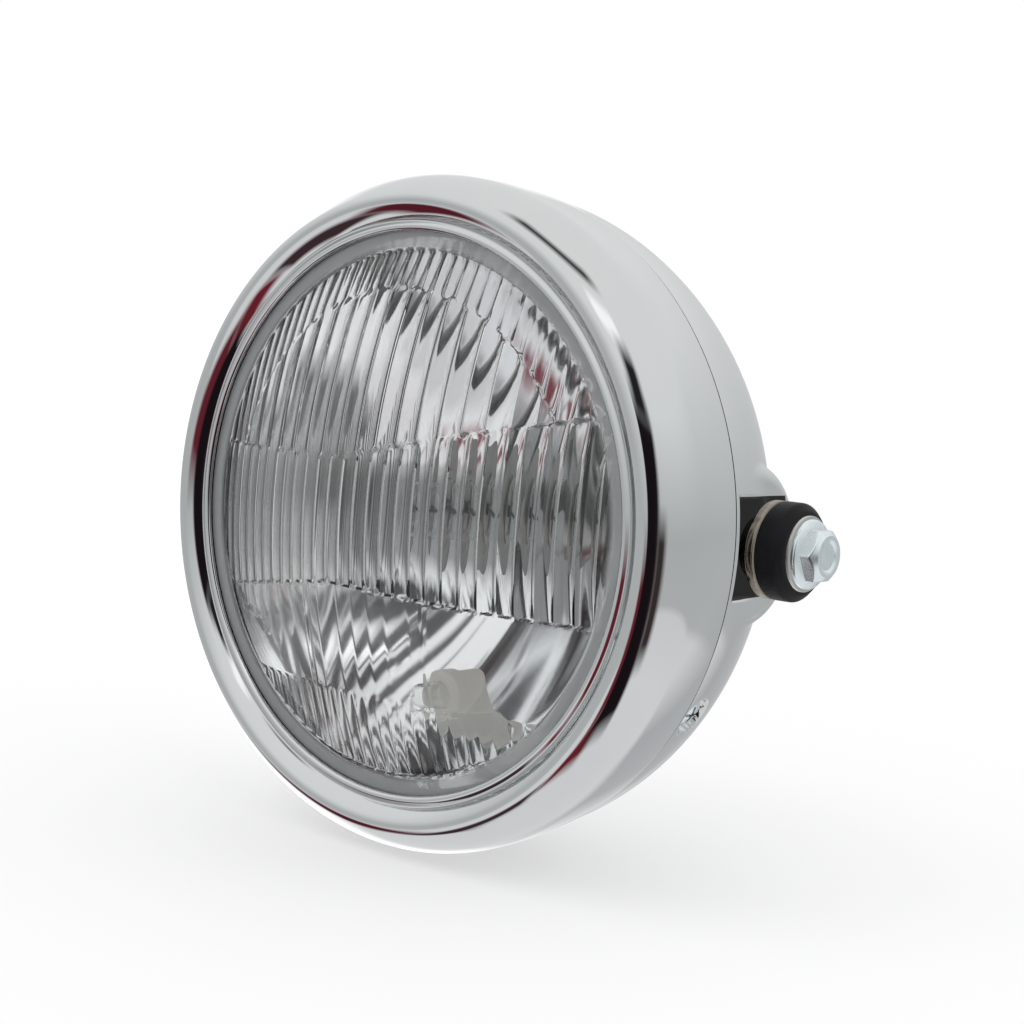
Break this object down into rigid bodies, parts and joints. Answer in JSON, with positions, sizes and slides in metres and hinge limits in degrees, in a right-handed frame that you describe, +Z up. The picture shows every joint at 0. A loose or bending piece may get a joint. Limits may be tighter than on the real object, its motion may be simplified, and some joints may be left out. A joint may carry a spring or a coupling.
{
  "type": "motorcycle headlight",
  "caption": "Round chromed motorcycle headlight with a domed prism glass, rim, bucket and rubber-bushed side bolts",
  "frame": {"origin": "middle of the side bolts' common axis, halfway between the two mounts", "axes": "+X along the side bolts, -Y the way the glass faces, +Z up"},
  "size_m": [0.2412, 0.1261, 0.2044],
  "materials": {
    "chrome": "polished",
    "steel": "satin",
    "collar_steel": "bright with a faint yellow tint",
    "zinc": "bright zinc with a faint blue tint",
    "rubber": "matt",
    "lens_glass": "clear, ribbed inside",
    "bulb_glass": "clear",
    "reflector": "vacuum coated",
    "bulb_metal": "satin",
    "filament": "dull",
    "brass": "plain",
    "holder_plastic": "cream white"
  },
  "bodies": {
    "root": {"rim": "chrome", "rim_hook": "steel", "rim_lugs": "steel", "rim_screws": "zinc", "rim_seal": "rubber", "lens": "lens_glass", "lens_bond": "rubber", "reflector": "reflector", "retaining_ring": "steel", "ring_springs": "steel", "bulb_seat": "steel", "bulb_glass": "bulb_glass", "bulb_filaments": "filament", "bulb_base": "bulb_metal", "bulb_terminals": "brass", "bulb_spring": "steel", "dust_boot": "rubber", "position_bulb": "bulb_glass", "position_holder": "holder_plastic", "shell": "chrome", "cable_grommet": "rubber", "boss_nut_left": "steel", "boss_nut_right": "steel", "mount_collar_left": "collar_steel", "mount_collar_right": "collar_steel", "mount_bush_left": "rubber", "mount_bush_right": "rubber", "mount_washer_left": "steel", "mount_washer_right": "steel", "mount_bolt_left": "zinc", "mount_bolt_right": "zinc"}
  },
  "joints": []
}
